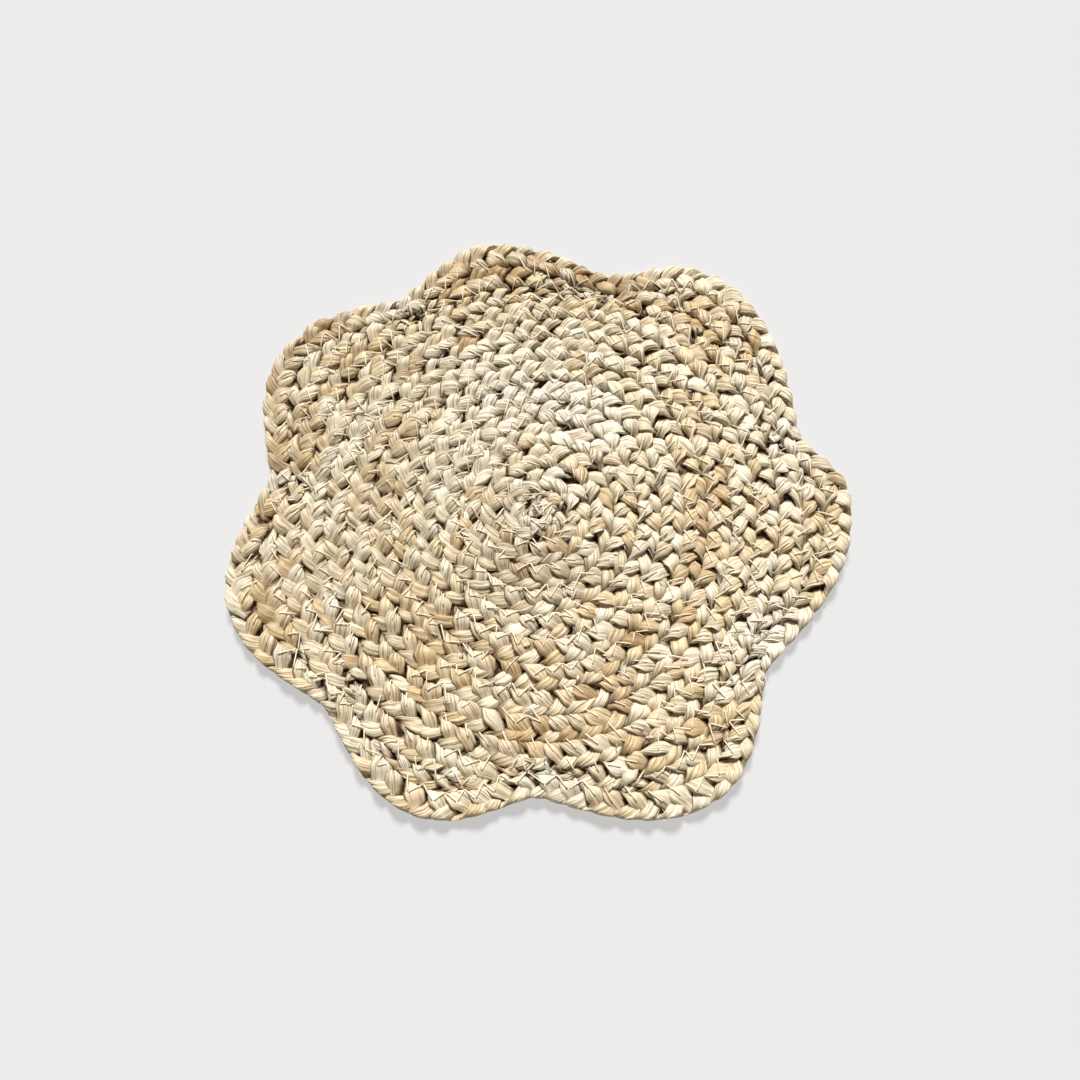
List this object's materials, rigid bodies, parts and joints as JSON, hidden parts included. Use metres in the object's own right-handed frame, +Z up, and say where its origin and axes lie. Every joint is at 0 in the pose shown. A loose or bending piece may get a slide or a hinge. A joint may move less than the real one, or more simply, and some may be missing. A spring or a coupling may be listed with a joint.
{
  "type": "seagrass placemat",
  "caption": "Flat flower-shaped table mat of plaited leaf, a spirally wound disc with petals and an edge plait sewn round the scallops.",
  "frame": {"origin": "middle of the mat's outline, on its underside", "axes": "+Z up out of the table, +X to the right and +Y away from the eater as the mat is laid in front of them"},
  "size_m": [0.3774, 0.3696, 0.008],
  "materials": {
    "plait": "satin",
    "husk": "satin",
    "thread": "satin"
  },
  "bodies": {
    "root": {"coil": "plait", "rim": "plait", "petal_fill_1": "husk", "petal_fill_2": "husk", "petal_fill_3": "husk", "petal_fill_4": "husk", "petal_fill_5": "husk", "petal_fill_6": "husk", "petal_fill_7": "husk"}
  },
  "joints": []
}
